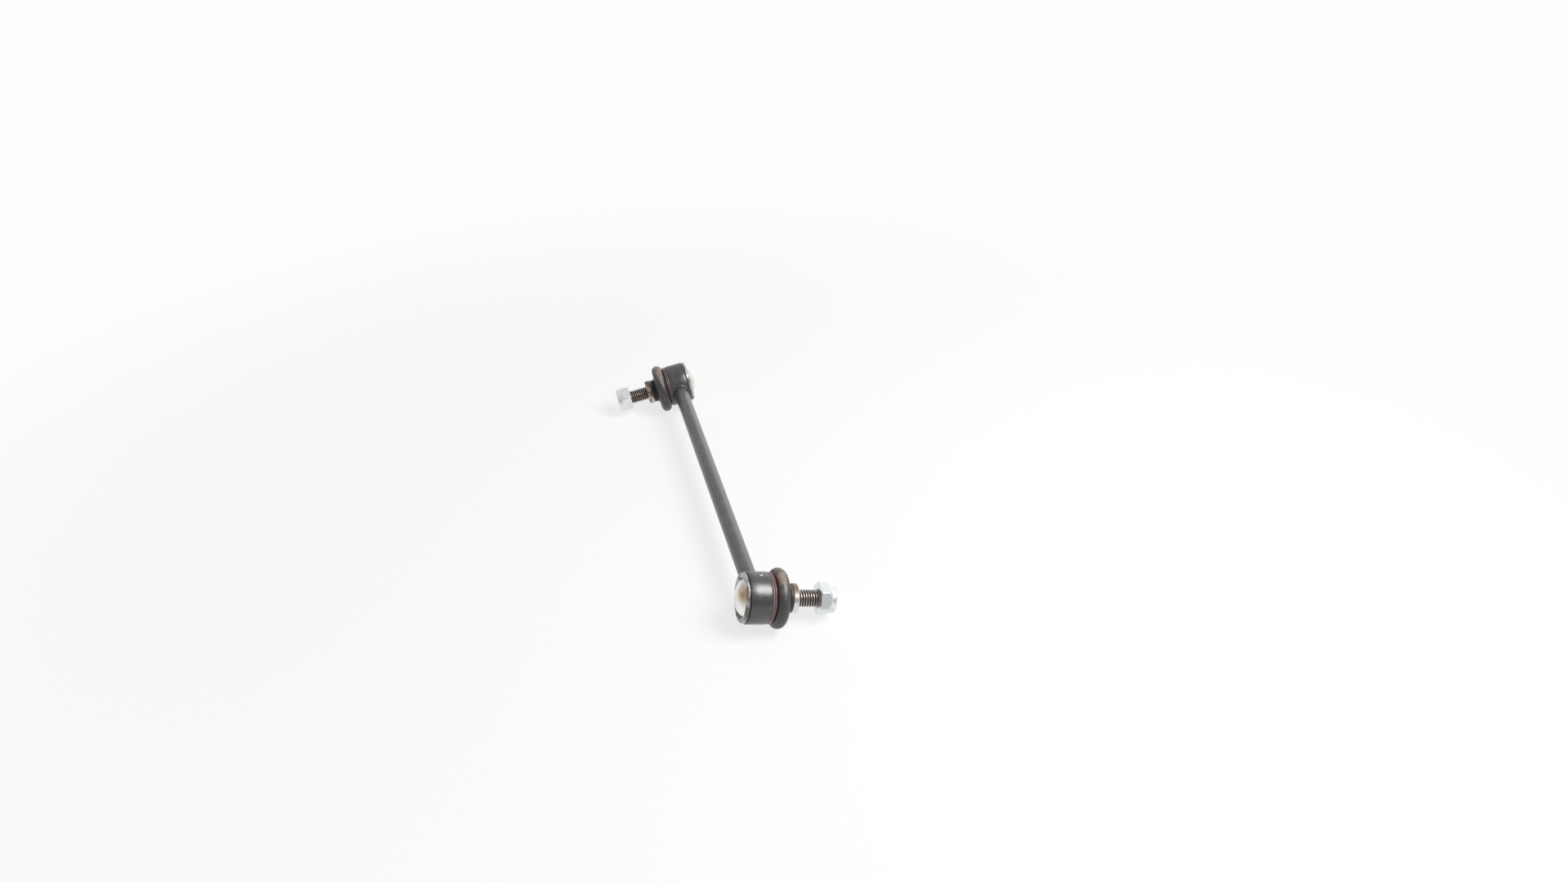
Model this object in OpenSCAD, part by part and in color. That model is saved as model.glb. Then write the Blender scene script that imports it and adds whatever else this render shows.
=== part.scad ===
// Stabilizer link: a straight rod with a ball joint welded across each end.
// Origin on the floor under the middle of the rod, +Y along the rod to the strut end, +Z up.
// Inside each joint +Z runs from the ball centre out along the stud.

/* [Link] */
// Distance between the two ball centres
ball_spacing = 270; // [200:1:360]
// Angle by which each stud leans down from level
stud_droop = 11; // [6:0.5:14]
// Diameter of the connecting rod
rod_d = 10.2; // [8:0.1:10.4]
// Height of the weld bead up the rod
weld_leg = 1.2; // [0.8:0.1:1.2]
// Width of the weld bead on the housing, beyond the rod
weld_foot = 0.5; // [0.3:0.1:0.6]

/* [Housing] */
// Outside diameter of the housing's round band
housing_d = 30; // [29.5:0.5:34]
// Length of the round band
band_len = 12.2; // [12:0.2:15]
// How far the band's middle lies from the ball centre, towards the cap
band_shift = 0.4; // [0:0.1:0.6]
// Step from the band down to the rolled lip
lip_step = 0.5; // [0.3:0.1:0.8]
// Wall of the rolled lip around the cap's rim
lip_wall = 1.84; // [1.6:0.02:2.1]
// Width and depth of the fine groove between band and rolled lip
lip_groove = 0.4; // [0.3:0.05:0.5]
// Depth of the groove that takes the boot's wide lip
groove_depth = 2.9; // [2.7:0.1:3.2]
// Thickness of the flange that ends the groove
flange_t = 0.9; // [0.7:0.1:1.2]

/* [End cap] */
// Thickness of the pressed cap
cap_t = 1.2; // [1:0.1:1.5]
// Height of the cap's dome
dome_h = 5; // [4.4:0.1:5.6]

/* [Ball and seat] */
// Diameter of the ball
ball_d = 16; // [15:0.5:16.5]
// Wall of the plastic seat beside the ball
seat_wall = 2.7; // [2:0.1:2.9]
// Largest swing of the stud away from the housing's axis
stud_swing = 22; // [12:1:24]

/* [Stud] */
// Diameter of the neck between ball and boot
neck_d = 9.2; // [8:0.2:9.6]
// Diameter of the smooth land under the boot's small lip
land_d = 12; // [11:0.5:13]
// Diameter of the collar that seats on the bracket
collar_d = 17; // [16.4:0.2:20]
// Thickness of the collar
collar_t = 3.7; // [3:0.1:5]
// Rounding of the collar's outer edge
collar_round = 1.2; // [0.8:0.1:1.6]
// Diameter over the thread
thread_d = 10; // [9:0.5:10.5]
// Length of the thread from collar to tip
thread_len = 20; // [18:0.5:22]
// How much thinner the lead of the thread is, on the radius
lead_drop = 0.2; // [0.18:0.02:0.3]
// Width across the flats of the hexagon socket in the tip
socket_af = 5; // [4:0.5:5.5]

/* [Dust boot] */
// Largest diameter of the boot
boot_d = 35; // [34:0.5:38]
// Thickness of the boot's rounded bead
bead_d = 7.6; // [7:0.1:8.4]
// Rubber thickness
rubber_t = 1.5; // [1.2:0.1:1.8]
// Length of the boot's small neck
boot_neck_len = 3.9; // [3.8:0.1:5]
// Diameter of the boot's small neck
boot_neck_d = 16.6; // [16.2:0.1:17]
// Depth of the waist in the small neck
waist_depth = 0.8; // [0.6:0.1:1]
// Wire diameter of the wide clamp
clamp_wire = 1.5; // [1.3:0.1:1.6]
// Wire diameter of the small neck ring
ring_wire = 0.9; // [0.7:0.1:1]

/* [Lock nut] */
// Width across the flats
nut_af = 17; // [16:0.5:19]
// Height of the nut
nut_h = 10; // [9.5:0.5:12]
// Height over which the corners are full
nut_corner_h = 5.2; // [4:0.2:5.6]
// Bare thread between collar and nut
nut_gap = 12.6; // [11.6:0.2:13.6]
// Turn of the nut at the bar end
bar_nut_turn = 35; // [0:1:60]
// Turn of the nut at the strut end
strut_nut_turn = 58; // [0:1:60]

/* [Clearances] */
// Gap between pieces that are held together
held_gap = 0.05; // [0.03:0.01:0.08]
// Gap where one round piece turns in another
turn_gap = 0.06; // [0.04:0.01:0.09]
// Space left around the swinging neck
swing_gap = 0.35; // [0.3:0.05:0.5]

/* [Hidden] */
$fn = 96;

housing_r = housing_d / 2;
ball_r = ball_d / 2;
neck_r = neck_d / 2;
seat_r = ball_r + seat_wall;
bore_r = seat_r + turn_gap;
rod_r = rod_d / 2;

// Stations along the stud, counted from the ball centre
band_z = band_len / 2 - band_shift;
band_back_z = -band_len / 2 - band_shift;
groove_end_z = band_z + 2 * clamp_wire + 0.2;
flange_end_z = groove_end_z + flange_t;
bead_r = bead_d / 2;
bead_z = groove_end_z + bead_r;
boot_neck_z = bead_z + bead_r;
collar_z = boot_neck_z + boot_neck_len;
seat_face_z = collar_z + collar_t;
nut_z = seat_face_z + nut_gap;
tip_z = seat_face_z + thread_len;

// Cap and rolled lip, on the side away from the stud
lip_r = housing_r - lip_step;
cap_r = lip_r - lip_wall;
cap_top_z = band_back_z + 0.25;
cap_edge_z = cap_top_z - cap_t;
lip_bead_r = (lip_r - cap_r) * 0.5 + 0.75;
lip_z = cap_edge_z - held_gap;
dome_base_r = lip_r - 2 * lip_bead_r - 0.2;
dome_ball_r = (dome_base_r * dome_base_r + dome_h * dome_h) / (2 * dome_h);
dome_z = cap_edge_z - dome_h + dome_ball_r;

// Cone swept by the neck at full swing, used by the seat and the housing alike
throat_r0 = neck_r / cos(stud_swing) + swing_gap;
seat_top_z = ball_r * 0.6;
shoulder_z = seat_top_z + held_gap;

// Boot
groove_r = housing_r - groove_depth;
boot_lip_r = housing_r - clamp_wire - 0.2;
boot_ring_r = boot_d / 2 - bead_r;
boot_neck_r = boot_neck_d / 2;
land_r = land_d / 2;
ring_r = ring_wire / 2;
waist_r = boot_neck_r - waist_depth;
waist_z = boot_neck_z + boot_neck_len * 0.44;
waist_ball_r = 1.5;

// Nut
nut_corner_r = nut_af / 2 / cos(30);
nut_bore_r = thread_d / 2 + turn_gap;
insert_t = nut_h * 0.2;
insert_z = nut_h * 0.72;
insert_r = nut_bore_r + 1.6;
crown_round = nut_h * 0.13;
crown_r = nut_af / 2 - 0.15;

// Height of the ball centres with the link lying on its boots
boot_low = bead_z * sin(stud_droop) + boot_ring_r * cos(stud_droop) + bead_r;
nut_low = (nut_z + nut_corner_h) * sin(stud_droop) + nut_corner_r * cos(stud_droop);
lie_h = max(boot_low, nut_low);

module bar_end() {
  translate([0, -ball_spacing / 2, lie_h])
    rotate([0, 90 + stud_droop, 0])
      children();
}

module strut_end() {
  rotate([0, 0, 180])
    bar_end()
      children();
}

module throat() {
  cylinder(h = tip_z, r1 = throat_r0, r2 = throat_r0 + tip_z * tan(stud_swing));
}

module housing_shape() {
  difference() {
    rotate_extrude()
      difference() {
        union() {
          translate([0, band_back_z])
            square([housing_r, band_len]);
          translate([0, lip_z])
            square([lip_r, -lip_z]);
          translate([lip_r - lip_bead_r, lip_z])
            circle(lip_bead_r);
          square([groove_r, groove_end_z]);
          translate([0, groove_end_z])
            square([boot_lip_r - 0.6, flange_t]);
        }
        translate([0, cap_top_z])
          square([bore_r, shoulder_z - cap_top_z]);
        translate([0, cap_edge_z - held_gap])
          square([cap_r + held_gap, cap_t + held_gap]);
        translate([0, lip_z - lip_bead_r - 1])
          square([lip_r - 2 * lip_bead_r, lip_bead_r + 1.5]);
        translate([lip_r - lip_groove, band_back_z - lip_groove])
          square([lip_groove + lip_step, lip_groove]);
      }
    throat();
  }
}

module weld_shape() {
  weld_r = rod_r + weld_foot;
  foot_y = sqrt(housing_r * housing_r - weld_r * weld_r) - weld_leg;
  difference() {
    rotate([-90, 0, 0])
      rotate_extrude()
        polygon([
          [rod_r + held_gap, foot_y],
          [weld_r, foot_y],
          [weld_r, housing_r + weld_leg * 0.12],
          [rod_r + weld_foot * 0.9, housing_r + weld_leg * 0.85],
          [rod_r + held_gap, housing_r + weld_leg * 1.05]
        ]);
    translate([0, 0, -2 * rod_d])
      cylinder(h = 4 * rod_d, r = housing_r + held_gap);
  }
}

module end_cap_shape() {
  difference() {
    union() {
      translate([0, 0, cap_edge_z])
        cylinder(h = cap_t, r = cap_r);
      intersection() {
        translate([0, 0, dome_z])
          sphere(dome_ball_r);
        translate([0, 0, cap_edge_z - dome_h - 1])
          cylinder(h = dome_h + 1.2, r = dome_base_r + 0.1);
      }
    }
    translate([0, 0, dome_z])
      sphere(dome_ball_r - cap_t);
  }
}

module ball_seat_shape() {
  difference() {
    union() {
      translate([0, 0, cap_top_z + held_gap])
        cylinder(h = seat_top_z - cap_top_z - held_gap, r = seat_r);
      sphere(ball_r + 1.05);
    }
    sphere(ball_r + turn_gap);
    throat();
    translate([0, 0, seat_top_z])
      cylinder(h = ball_d, r = seat_r);
  }
}

module stud_blank() {
  flare_z = boot_neck_z - 0.6;
  flare_len = neck_d * 0.43;
  rotate_extrude()
    union() {
      intersection() {
        circle(ball_r);
        translate([0, -ball_r])
          square([ball_r, ball_d]);
      }
      polygon([
        [0, 0],
        [neck_r, 0],
        [neck_r, flare_z - flare_len],
        [land_r, flare_z],
        [land_r, collar_z + 0.1],
        [0, collar_z + 0.1]
      ]);
      translate([0, collar_z])
        square([collar_d / 2, collar_t - collar_round]);
      translate([0, collar_z])
        square([collar_d / 2 - collar_round, collar_t]);
      translate([collar_d / 2 - collar_round, seat_face_z - collar_round])
        circle(collar_round);
      polygon([
        [0, seat_face_z - 0.1],
        [thread_d / 2, seat_face_z - 0.1],
        [thread_d / 2, nut_z - held_gap],
        [thread_d / 2 - lead_drop, nut_z - held_gap],
        [thread_d / 2 - lead_drop, tip_z - 1],
        [thread_d / 2 - lead_drop - 1, tip_z],
        [0, tip_z]
      ]);
    }
}

module ball_stud_shape() {
  difference() {
    stud_blank();
    translate([0, 0, tip_z - socket_af])
      cylinder(h = 2 * socket_af, r = socket_af / 2 / cos(30), $fn = 6);
  }
}

module boot_clamp_shape() {
  wire_r = clamp_wire / 2;
  first_z = band_z + 0.1 + wire_r;
  rotate_extrude()
    union() {
      translate([boot_lip_r + held_gap + wire_r, first_z])
        circle(wire_r, $fn = 32);
      translate([boot_lip_r + held_gap + wire_r, first_z + clamp_wire * 0.9])
        circle(wire_r, $fn = 32);
    }
}

module dust_boot_shape() {
  inner_r = bead_r - rubber_t;
  rotate_extrude()
    difference() {
      union() {
        translate([groove_r + held_gap, band_z + held_gap])
          square([boot_lip_r - groove_r - held_gap, groove_end_z - band_z + bead_r - inner_r]);
        translate([boot_ring_r, bead_z])
          circle(bead_r);
        polygon([
          [land_r + turn_gap, boot_neck_z - 1.2],
          [boot_ring_r - 1, bead_z + inner_r],
          [boot_ring_r - 1, boot_neck_z - 0.15],
          [boot_neck_r + 0.9, boot_neck_z + 0.15],
          [boot_neck_r, boot_neck_z + 0.8],
          [boot_neck_r, collar_z - 0.2],
          [land_r + turn_gap, collar_z - 0.2]
        ]);
      }
      translate([boot_ring_r, bead_z])
        circle(inner_r);
      translate([0, bead_z - inner_r])
        square([boot_ring_r, inner_r + 0.5]);
      translate([0, bead_z])
        square([boot_ring_r - 1, inner_r]);
      translate([0, groove_end_z - held_gap])
        square([boot_lip_r - 0.6 + held_gap, flange_t + 2 * held_gap]);
      translate([0, flange_end_z])
        square([boot_ring_r - 0.6, bead_z - flange_end_z]);
      translate([waist_r + waist_ball_r, waist_z])
        circle(waist_ball_r);
    }
}

module neck_ring_shape() {
  rotate_extrude()
    translate([waist_r + held_gap + ring_r, waist_z])
      circle(ring_r, $fn = 32);
}

module lock_nut_shape(turn) {
  translate([0, 0, nut_z])
    difference() {
      intersection() {
        rotate([0, 0, turn])
          cylinder(h = nut_h, r = nut_corner_r, $fn = 6);
        rotate_extrude()
          union() {
            polygon([
              [0, 0],
              [nut_corner_r - 0.35, 0],
              [nut_corner_r + 0.1, 0.3],
              [nut_corner_r + 0.1, nut_corner_h],
              [crown_r, nut_corner_h + nut_af * 0.1],
              [crown_r, nut_h - crown_round],
              [0, nut_h - crown_round]
            ]);
            translate([0, nut_h - crown_round - 0.1])
              square([crown_r - crown_round, crown_round + 0.1]);
            translate([crown_r - crown_round, nut_h - crown_round])
              circle(crown_round);
          }
      }
      translate([0, 0, -1])
        cylinder(h = insert_z + 2, r = nut_bore_r);
      translate([0, 0, insert_z])
        cylinder(h = insert_t + 2 * held_gap, r = insert_r + held_gap);
      translate([0, 0, insert_z + insert_t / 2])
        cylinder(h = nut_h, r = insert_r - 0.6);
    }
}

module nut_insert_shape() {
  translate([0, 0, nut_z + insert_z + held_gap])
    difference() {
      cylinder(h = insert_t, r = insert_r);
      translate([0, 0, -1])
        cylinder(h = insert_t + 2, r = nut_bore_r);
    }
}

module rod() {
  color([0.12, 0.12, 0.13])
    difference() {
      translate([0, -ball_spacing / 2, lie_h])
        rotate([-90, 0, 0])
          cylinder(h = ball_spacing, r = rod_r);
      bar_end()
        cylinder(h = 4 * rod_d, r = housing_r + held_gap, center = true);
      strut_end()
        cylinder(h = 4 * rod_d, r = housing_r + held_gap, center = true);
    }
}

module bar_housing() {
  color([0.13, 0.13, 0.14])
    bar_end()
      housing_shape();
}

module bar_weld_bead() {
  color([0.1, 0.09, 0.09])
    bar_end()
      weld_shape();
}

module bar_end_cap() {
  color([0.8, 0.8, 0.76])
    bar_end()
      end_cap_shape();
}

module bar_boot_clamp() {
  color([0.42, 0.16, 0.16])
    bar_end()
      boot_clamp_shape();
}

module bar_dust_boot() {
  color([0.06, 0.055, 0.055])
    bar_end()
      dust_boot_shape();
}

module bar_ball_seat() {
  color([0.85, 0.84, 0.8])
    bar_end()
      ball_seat_shape();
}

module bar_neck_ring() {
  color([0.07, 0.07, 0.07])
    bar_end()
      neck_ring_shape();
}

module bar_ball_stud() {
  color([0.55, 0.52, 0.48])
    bar_end()
      ball_stud_shape();
}

module bar_nut_insert() {
  color([0.75, 0.76, 0.74])
    bar_end()
      nut_insert_shape();
}

module bar_lock_nut() {
  color([0.82, 0.84, 0.84])
    bar_end()
      lock_nut_shape(bar_nut_turn);
}

module strut_housing() {
  color([0.13, 0.13, 0.14])
    strut_end()
      housing_shape();
}

module strut_weld_bead() {
  color([0.1, 0.09, 0.09])
    strut_end()
      weld_shape();
}

module strut_end_cap() {
  color([0.8, 0.8, 0.76])
    strut_end()
      end_cap_shape();
}

module strut_boot_clamp() {
  color([0.42, 0.16, 0.16])
    strut_end()
      boot_clamp_shape();
}

module strut_dust_boot() {
  color([0.06, 0.055, 0.055])
    strut_end()
      dust_boot_shape();
}

module strut_ball_seat() {
  color([0.85, 0.84, 0.8])
    strut_end()
      ball_seat_shape();
}

module strut_neck_ring() {
  color([0.07, 0.07, 0.07])
    strut_end()
      neck_ring_shape();
}

module strut_ball_stud() {
  color([0.55, 0.52, 0.48])
    strut_end()
      ball_stud_shape();
}

module strut_nut_insert() {
  color([0.75, 0.76, 0.74])
    strut_end()
      nut_insert_shape();
}

module strut_lock_nut() {
  color([0.82, 0.84, 0.84])
    strut_end()
      lock_nut_shape(strut_nut_turn);
}

rod();
bar_housing();
bar_weld_bead();
bar_end_cap();
bar_boot_clamp();
bar_dust_boot();
bar_ball_seat();
bar_neck_ring();
bar_ball_stud();
bar_nut_insert();
bar_lock_nut();
strut_housing();
strut_weld_bead();
strut_end_cap();
strut_boot_clamp();
strut_dust_boot();
strut_ball_seat();
strut_neck_ring();
strut_ball_stud();
strut_nut_insert();
strut_lock_nut();
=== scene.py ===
import bpy, bmesh, math
import numpy as np
from mathutils import Matrix, Vector


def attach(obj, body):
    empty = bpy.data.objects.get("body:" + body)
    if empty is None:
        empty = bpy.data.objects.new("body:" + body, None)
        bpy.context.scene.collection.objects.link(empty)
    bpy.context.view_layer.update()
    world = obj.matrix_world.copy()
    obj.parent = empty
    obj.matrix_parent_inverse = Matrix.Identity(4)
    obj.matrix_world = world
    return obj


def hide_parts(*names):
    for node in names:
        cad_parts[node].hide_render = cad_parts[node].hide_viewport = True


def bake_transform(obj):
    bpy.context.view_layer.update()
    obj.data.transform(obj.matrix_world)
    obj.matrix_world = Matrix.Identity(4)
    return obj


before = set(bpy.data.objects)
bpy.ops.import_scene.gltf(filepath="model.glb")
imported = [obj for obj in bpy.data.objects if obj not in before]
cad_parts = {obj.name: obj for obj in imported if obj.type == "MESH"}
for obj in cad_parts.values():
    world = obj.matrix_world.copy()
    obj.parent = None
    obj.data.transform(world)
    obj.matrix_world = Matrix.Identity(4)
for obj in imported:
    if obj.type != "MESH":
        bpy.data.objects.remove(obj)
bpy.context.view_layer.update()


# Rod: one straight drawn steel bar, 10 mm thick, with a black dipped coat that has gone
# satin from handling. Its ends are hollowed to sit on the round housings.
def wire(tree, source, target):
    tree.links.new(source, target)


def noise(tree, vector, scale, detail, rough=0.6):
    texture = tree.nodes.new("ShaderNodeTexNoise")
    texture.inputs["Scale"].default_value = scale
    texture.inputs["Detail"].default_value = detail
    texture.inputs["Roughness"].default_value = rough
    wire(tree, vector, texture.inputs["Vector"])
    return texture.outputs["Fac"]


def spread(tree, value, low, high, to_low=0.0, to_high=1.0):
    """A smooth step of a value from low to high, put out between to_low and to_high."""
    ramp = tree.nodes.new("ShaderNodeMapRange")
    ramp.interpolation_type = "SMOOTHSTEP"
    ramp.inputs["From Min"].default_value = low
    ramp.inputs["From Max"].default_value = high
    ramp.inputs["To Min"].default_value = to_low
    ramp.inputs["To Max"].default_value = to_high
    wire(tree, value, ramp.inputs["Value"])
    return ramp.outputs[0]


def feed(tree, socket, value):
    if hasattr(value, "is_output"):
        wire(tree, value, socket)
    else:
        socket.default_value = value


def sums(tree, operation, a, b=0.0):
    step = tree.nodes.new("ShaderNodeMath")
    step.operation = operation
    feed(tree, step.inputs[0], a)
    feed(tree, step.inputs[1], b)
    return step.outputs[0]


def tint(tree, share, under, over):
    mix = tree.nodes.new("ShaderNodeMix")
    mix.data_type = "RGBA"
    open_inputs = [socket for socket in mix.inputs if socket.enabled]
    for socket, value in zip(open_inputs, (share, under, over)):
        feed(tree, socket, (*value, 1) if isinstance(value, tuple) else value)
    return [socket for socket in mix.outputs if socket.enabled][0]


def finish(material, colour, rough, height=None, bump=0.1, depth=0.0002, **fixed):
    """One surface: its links for colour, roughness and relief, and its plain values by name."""
    tree = material.node_tree
    skin = tree.nodes.new("ShaderNodeBsdfPrincipled")
    out = tree.nodes.new("ShaderNodeOutputMaterial")
    wire(tree, colour, skin.inputs["Base Color"])
    wire(tree, rough, skin.inputs["Roughness"])
    for label, value in fixed.items():
        feed(tree, skin.inputs[label.replace("_", " ")], value)
    if height is not None:
        relief = tree.nodes.new("ShaderNodeBump")
        relief.inputs["Strength"].default_value = bump
        relief.inputs["Distance"].default_value = depth
        wire(tree, height, relief.inputs["Height"])
        wire(tree, relief.outputs[0], skin.inputs["Normal"])
    wire(tree, skin.outputs[0], out.inputs["Surface"])
    return material


def surface(name):
    material = bpy.data.materials.new(name)
    material.use_nodes = True
    material.node_tree.nodes.clear()
    place = material.node_tree.nodes.new("ShaderNodeTexCoord")
    return material, material.node_tree, place.outputs["Object"]


def dress(node, material):
    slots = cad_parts[node].data.materials
    slots.clear()
    slots.append(material)


def sockets(tree, way, **kinds):
    """The named inputs or outputs of a node group, each with its kind of socket."""
    for label, kind in kinds.items():
        tree.interface.new_socket(label, in_out=way, socket_type="NodeSocket" + kind)


BARE_STEEL = (0.60, 0.57, 0.52)
coat_wear = bpy.data.node_groups.new("coat_wear", "ShaderNodeTree")
sockets(coat_wear, "INPUT", Place="Vector", Coat="Color", Grime="Color", Chips="Float")
sockets(coat_wear, "OUTPUT", Colour="Color", Roughness="Float", Height="Float", Bare="Float")
given = coat_wear.nodes.new("NodeGroupInput")
gives = coat_wear.nodes.new("NodeGroupOutput")
clouds = noise(coat_wear, given.outputs["Place"], 130, 5)
grain = noise(coat_wear, given.outputs["Place"], 2300, 3)
flecks = noise(coat_wear, given.outputs["Place"], 640, 2, 0.5)
edge = sums(coat_wear, "SUBTRACT", 0.86, sums(coat_wear, "MULTIPLY", given.outputs["Chips"], 0.2))
bare = spread(coat_wear, sums(coat_wear, "SUBTRACT", flecks, edge), 0.0, 0.02)
grimy = sums(coat_wear, "MULTIPLY", spread(coat_wear, clouds, 0.42, 0.7), 0.55)
coated = tint(coat_wear, grimy, given.outputs["Coat"], given.outputs["Grime"])
satin = spread(coat_wear, clouds, 0.3, 0.7, to_low=0.26, to_high=0.32)
rubbed = sums(coat_wear, "ADD", satin, sums(coat_wear, "MULTIPLY", grain, 0.07))
relief = sums(coat_wear, "SUBTRACT", sums(coat_wear, "MULTIPLY", grain, 0.5), bare)
wire(coat_wear, tint(coat_wear, bare, coated, BARE_STEEL), gives.inputs["Colour"])
wire(coat_wear, rubbed, gives.inputs["Roughness"])
wire(coat_wear, relief, gives.inputs["Height"])
wire(coat_wear, bare, gives.inputs["Bare"])


def worn_coat(tree, place, colour, grime, chips):
    """The worn dipped coat: its colour, roughness, relief and where it is chipped bare."""
    wear = tree.nodes.new("ShaderNodeGroup")
    wear.node_tree = coat_wear
    wire(tree, place, wear.inputs["Place"])
    wear.inputs["Coat"].default_value = (*colour, 1)
    wear.inputs["Grime"].default_value = (*grime, 1)
    wear.inputs["Chips"].default_value = chips
    return [wear.outputs[label] for label in ("Colour", "Roughness", "Height", "Bare")]


rod_coat, tree, place = surface("rod_coat")
colour, rough, height, bare = worn_coat(
    tree, place, colour=(0.055, 0.055, 0.056), grime=(0.105, 0.100, 0.094), chips=0.35)
finish(rod_coat, colour, sums(tree, "SUBTRACT", rough, 0.03), height, bump=0.10,
       Metallic=bare, Specular_IOR_Level=0.9)
dress("rod", rod_coat)


# Housings: short turned steel bodies with the same dipped coat. The closed end is rolled
# over the cap, which cracks the coat, so the lip is ragged, bare in places and stained brown.
# Where it doesn't lie tight, a few notches and one pit are painted near-black as shade.
DROOP = math.radians(11.0)
BALL_HEIGHT = 0.0196716
BALL_SPACING = 0.270
HOUSING_RADIUS = 15.0


def joint_place(end):
    """Where a joint sits: its ball centre, with +Z out along the stud."""
    centre = Matrix.Translation((0, -BALL_SPACING / 2, BALL_HEIGHT))
    place = centre @ Matrix.Rotation(math.pi / 2 + DROOP, 4, "Y")
    return Matrix.Rotation(math.pi, 4, "Z") @ place if end == "strut" else place


def add_piece(name, points, faces, material, place, crease=35):
    mesh = bpy.data.meshes.new(name)
    mesh.from_pydata([tuple(p) for p in points], [], [tuple(f) for f in faces])
    mesh.transform(place)
    shape = bmesh.new()
    shape.from_mesh(mesh)
    bmesh.ops.remove_doubles(shape, verts=shape.verts, dist=1e-7)
    bmesh.ops.delete(shape, geom=[e for e in shape.edges if not e.link_faces], context="EDGES")
    bmesh.ops.recalc_face_normals(shape, faces=shape.faces)
    shape.to_mesh(mesh)
    shape.free()
    mesh.materials.append(material)
    mesh.polygons.foreach_set("use_smooth", [True] * len(mesh.polygons))
    mesh.set_sharp_from_angle(angle=math.radians(crease))
    piece = bpy.data.objects.new(name, mesh)
    bpy.context.scene.collection.objects.link(piece)
    return piece


def mark(piece, name, value_of):
    """A number on each point of a piece, from its place and its normal."""
    layer = piece.data.attributes.new(name, "FLOAT", "POINT")
    layer.data.foreach_set("value", [float(value_of(p.co, p.normal)) for p in piece.data.vertices])


def turned(profile, around=128, change=None):
    """A closed profile of (radius, station) in mm, turned about the stud's axis."""
    count = len(profile)
    points = []
    for i in range(around):
        turn = 2 * math.pi * i / around
        for k, (r, s) in enumerate(profile):
            if change:
                r, s = change(k, turn, r, s)
            points.append((r * math.cos(turn) / 1000, r * math.sin(turn) / 1000, s / 1000))
    faces = []
    for i in range(around):
        j = (i + 1) % around
        for k in range(count):
            m = (k + 1) % count
            faces.append((i * count + k, i * count + m, j * count + m, j * count + k))
    return points, faces


def arc(r0, s0, radius, start, stop, steps):
    """Points of a profile on a round about (r0, s0), between two angles in degrees."""
    turns = [math.radians(a) for a in np.linspace(start, stop, steps)]
    return [(r0 + radius * math.cos(t), s0 + radius * math.sin(t)) for t in turns]


def from_axis(profile):
    """The same profile with no point past the axis."""
    return [(max(r, 0), s) for r, s in profile]


def uneven(turn, seed, reach=9):
    """A smooth uneven wave around a ring, the same for the same seed."""
    rng = np.random.default_rng(seed)
    parts = [(rng.uniform(0.3, 1) / n ** 0.6, n, rng.uniform(0, 6.28)) for n in range(1, reach)]
    return sum(a * math.sin(n * turn + p) for a, n, p in parts) / 2


def read_mark(tree, name):
    layer = tree.nodes.new("ShaderNodeAttribute")
    layer.attribute_name = name
    return layer.outputs["Fac"]


def spot(tree, place, at, size):
    """1 around a point of the surface, 0 past the size in metres, with a ragged edge."""
    away = tree.nodes.new("ShaderNodeVectorMath")
    away.operation = "DISTANCE"
    wire(tree, place, away.inputs[0])
    away.inputs[1].default_value = at
    stray = sums(tree, "SUBTRACT", noise(tree, place, 900, 2), 0.5)
    ragged = sums(tree, "ADD", away.outputs["Value"], sums(tree, "MULTIPLY", stray, size * 1.2))
    return spread(tree, ragged, size * 1.1, size * 0.8)


LIP_BROWN, LIP_STEEL = (0.17, 0.120, 0.095), (0.50, 0.49, 0.51)
# The near-black here is painted shade, used for the lip's notches and one pit.
NICK_STEEL, PAINTED_SHADE_BLACK = (0.85, 0.83, 0.80), (0.006, 0.006, 0.006)
housing_coat, tree, place = surface("housing_coat")
colour, rough, height, bare = worn_coat(
    tree, place, colour=(0.024, 0.024, 0.027), grime=(0.070, 0.062, 0.055), chips=0.5)
lip = read_mark(tree, "lip")
flakes = spread(tree, noise(tree, place, 210, 3), 0.38, 0.58)
lip_bare = sums(tree, "MULTIPLY", spread(tree, lip, 0.25, 0.6), flakes)
stains = spread(tree, noise(tree, place, 240, 3), 0.3, 0.6)
lip_brown = sums(tree, "MULTIPLY", spread(tree, lip, 0.05, 0.9), stains)
colour = tint(tree, lip_brown, colour, LIP_BROWN)
colour = tint(tree, lip_bare, colour, LIP_STEEL)
nick = spot(tree, place, (0.00385, -0.13390, 0.03425), 0.00062)
# A near-black dot of painted shade at one pit in the lip.
pit_shade = spot(tree, place, (0.00400, -0.13460, 0.03440), 0.00042)
colour = tint(tree, nick, colour, NICK_STEEL)
colour = tint(tree, pit_shade, colour, PAINTED_SHADE_BLACK)
# Notches: near-black painted shade where the lip doesn't lie tight on the cap.
notch_shade = spread(tree, read_mark(tree, "notch_shade"), 0.15, 0.5)
colour = tint(tree, notch_shade, colour, PAINTED_SHADE_BLACK)
shine = sums(tree, "MULTIPLY", sums(tree, "MAXIMUM", bare, lip_bare), 0.8)
metal = sums(tree, "SUBTRACT", shine, notch_shade)
height = sums(tree, "SUBTRACT", height, sums(tree, "MULTIPLY", lip_bare, 0.4))
finish(housing_coat, colour, rough, height, bump=0.12, Metallic=metal, Specular_IOR_Level=1.0)

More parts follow.
